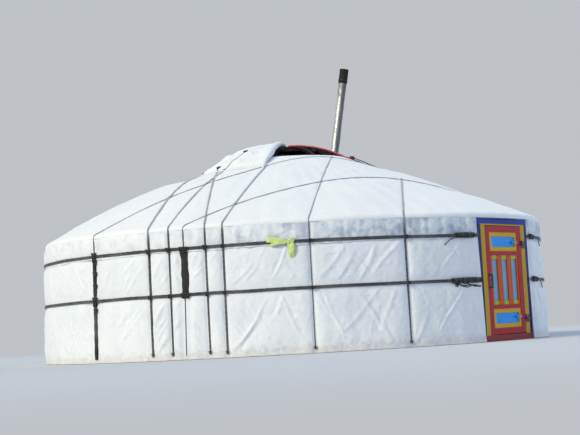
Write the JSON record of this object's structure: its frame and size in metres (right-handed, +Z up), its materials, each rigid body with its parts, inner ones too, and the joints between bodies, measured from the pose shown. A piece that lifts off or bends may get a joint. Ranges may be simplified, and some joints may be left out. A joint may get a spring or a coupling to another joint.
{
  "type": "yurt",
  "caption": "Round felt tent on a trellis wall: low cone roof, arched crown with a folded flap, rope girdles, a painted hinged door and a stove pipe.",
  "frame": {"origin": "middle of the ground circle, at ground level", "axes": "+Z up, the doorway looks towards -Y, +X to the right of somebody looking in at the door"},
  "size_m": [6.1926, 6.1513, 3.5214],
  "materials": {
    "crown_paint": "painted orange red, worn at the edges",
    "post_paint": "painted orange red",
    "trellis_lath": "red brown stained willow laths",
    "pole_paint": "painted orange red poles",
    "felt": "pressed sheep wool felt, off white",
    "wall_cloth": "white cotton canvas, creased",
    "roof_cloth": "white cotton canvas, sewn panels",
    "flap_cloth": "white canvas over felt, turned back",
    "girdle_rope": "dark twisted horsehair rope",
    "roof_rope": "grey and dark twisted hair rope",
    "strap": "black woven webbing",
    "ribbon": "yellow green cloth strip, tied",
    "door_navy": "dark blue gloss paint",
    "door_sill": "dark red paint, scuffed",
    "door_gold": "golden yellow paint",
    "iron": "forged, blackened",
    "leaf_crimson": "crimson gloss paint",
    "leaf_azure": "azure blue paint",
    "leaf_sky": "light blue paint",
    "leaf_orange": "orange paint",
    "pipe_zinc": "galvanised sheet",
    "pipe_soot": "covered with soot"
  },
  "bodies": {
    "tent": {"crown_ring": "crown_paint", "crown_ribs": "crown_paint", "crown_hoop": "crown_paint", "crown_boss": "crown_paint", "post_left": "post_paint", "post_right": "post_paint", "trellis_1": "trellis_lath", "trellis_2": "trellis_lath", "trellis_3": "trellis_lath", "trellis_4": "trellis_lath", "trellis_5": "trellis_lath", "roof_poles_1": "pole_paint", "roof_poles_2": "pole_paint", "roof_poles_3": "pole_paint", "roof_poles_4": "pole_paint", "roof_poles_5": "pole_paint", "roof_poles_door": "pole_paint", "wall_felt_1": "felt", "wall_felt_2": "felt", "wall_felt_3": "felt", "wall_felt_4": "felt", "wall_felt_5": "felt", "roof_felt_front": "felt", "roof_felt_back": "felt", "wall_canvas": "wall_cloth", "roof_canvas": "roof_cloth", "crown_flap": "flap_cloth", "flap_fold": "flap_cloth", "girdle_upper": "girdle_rope", "girdle_lower": "girdle_rope", "roof_ropes_near": "roof_rope", "roof_ropes_far": "roof_rope", "flap_ropes": "roof_rope", "wall_strap": "strap", "ribbon": "ribbon", "door_jamb_left": "door_navy", "door_jamb_right": "door_navy", "door_lintel": "door_navy", "door_sill": "door_sill", "door_trim": "door_gold", "door_pintles": "iron", "pipe_lower": "pipe_zinc", "pipe_upper": "pipe_zinc", "pipe_cap": "pipe_soot", "pipe_plate": "pipe_zinc"},
    "leaf": {"leaf_frame": "leaf_crimson", "leaf_panels": "leaf_azure", "leaf_mouldings": "door_gold", "leaf_boards": "leaf_sky", "leaf_caps": "door_gold", "leaf_bars": "leaf_orange", "leaf_hinges": "iron", "leaf_handle": "iron"}
  },
  "joints": [
    {"name": "door_swing", "type": "hinge", "parent": "tent", "child": "leaf", "pos_m": [0.401, -3.029, 0.6], "axis": [0, 0, 1], "range_deg": [0, 105]}
  ]
}
